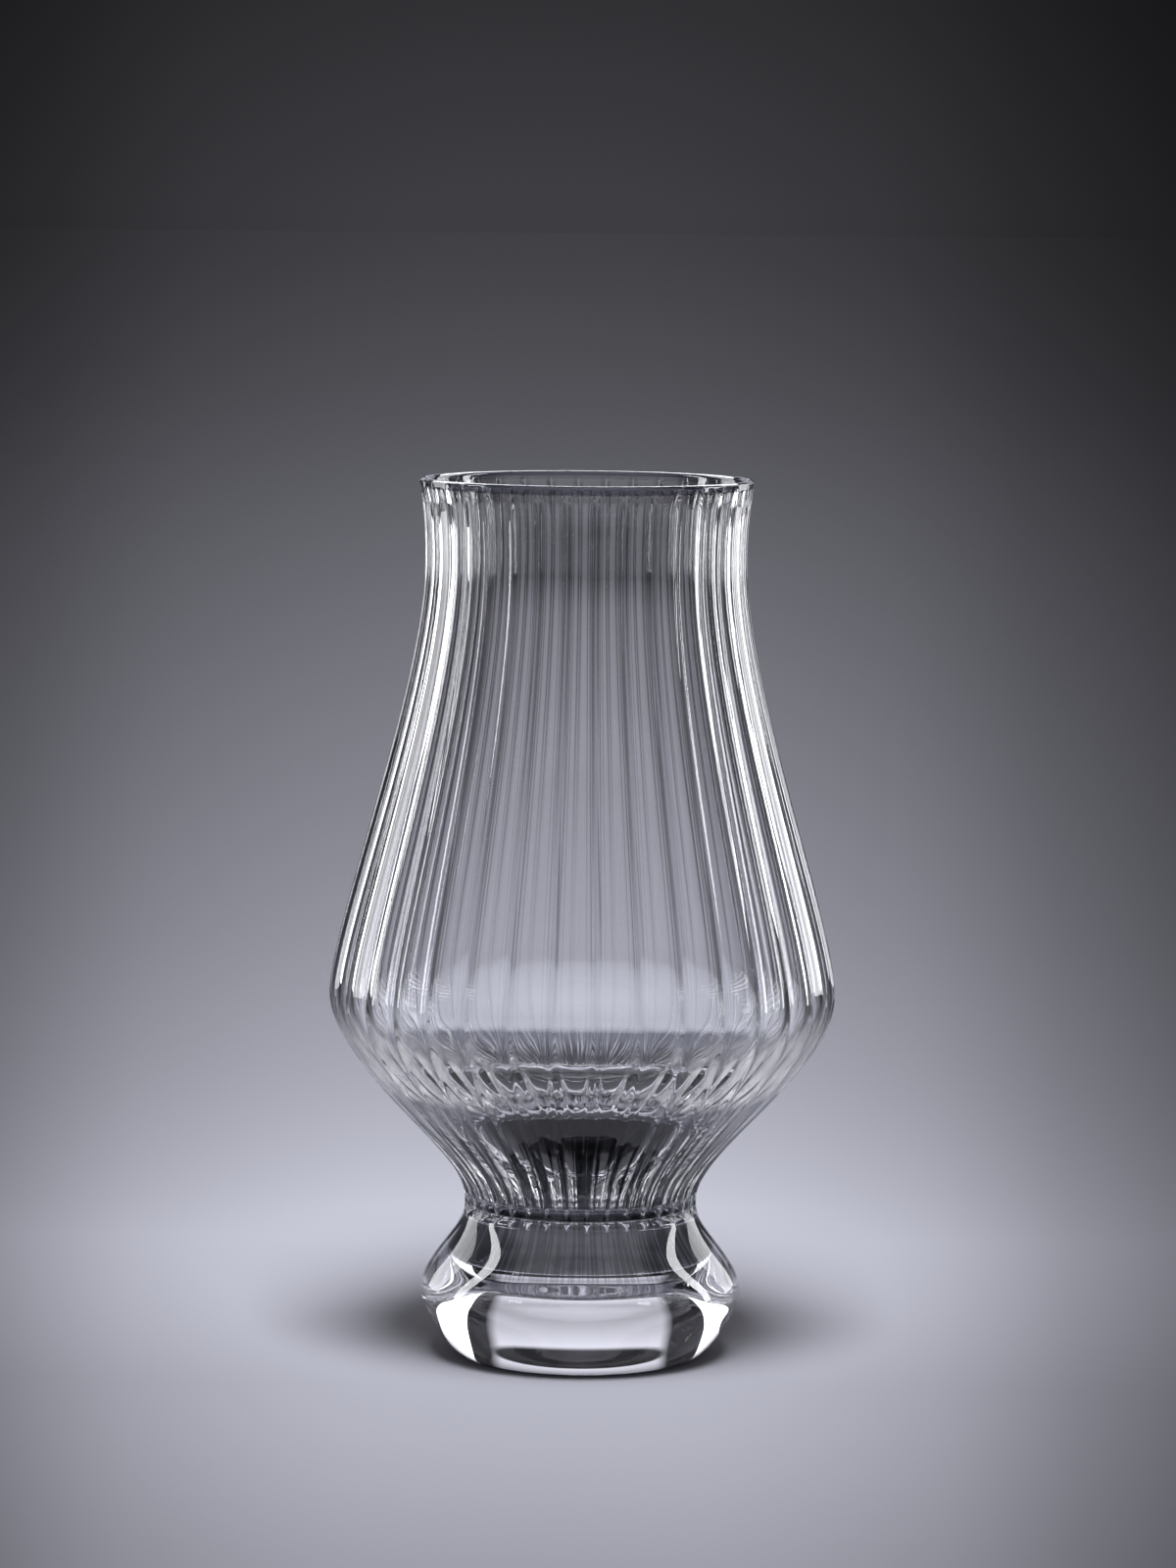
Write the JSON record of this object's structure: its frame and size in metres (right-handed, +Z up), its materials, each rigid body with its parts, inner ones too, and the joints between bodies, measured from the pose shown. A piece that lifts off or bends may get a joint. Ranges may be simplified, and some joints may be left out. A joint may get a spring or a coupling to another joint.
{
  "type": "whisky glass",
  "caption": "Clear whisky tasting glass with a fluted blown bowl, a flared mouth, a wide belly and a narrow waist on a heavy solid foot.",
  "frame": {"origin": "middle of the flat face under the foot that the glass stands on", "axes": "+Z up along the axis of the glass, -Y towards the viewer of the picture, at a ridge between two flutes"},
  "size_m": [0.0662, 0.0662, 0.115],
  "materials": {
    "clear_glass": "fire-polished, clear and colourless with a faint cool cast"
  },
  "bodies": {
    "root": {"bowl": "clear_glass", "foot": "clear_glass"}
  },
  "joints": []
}
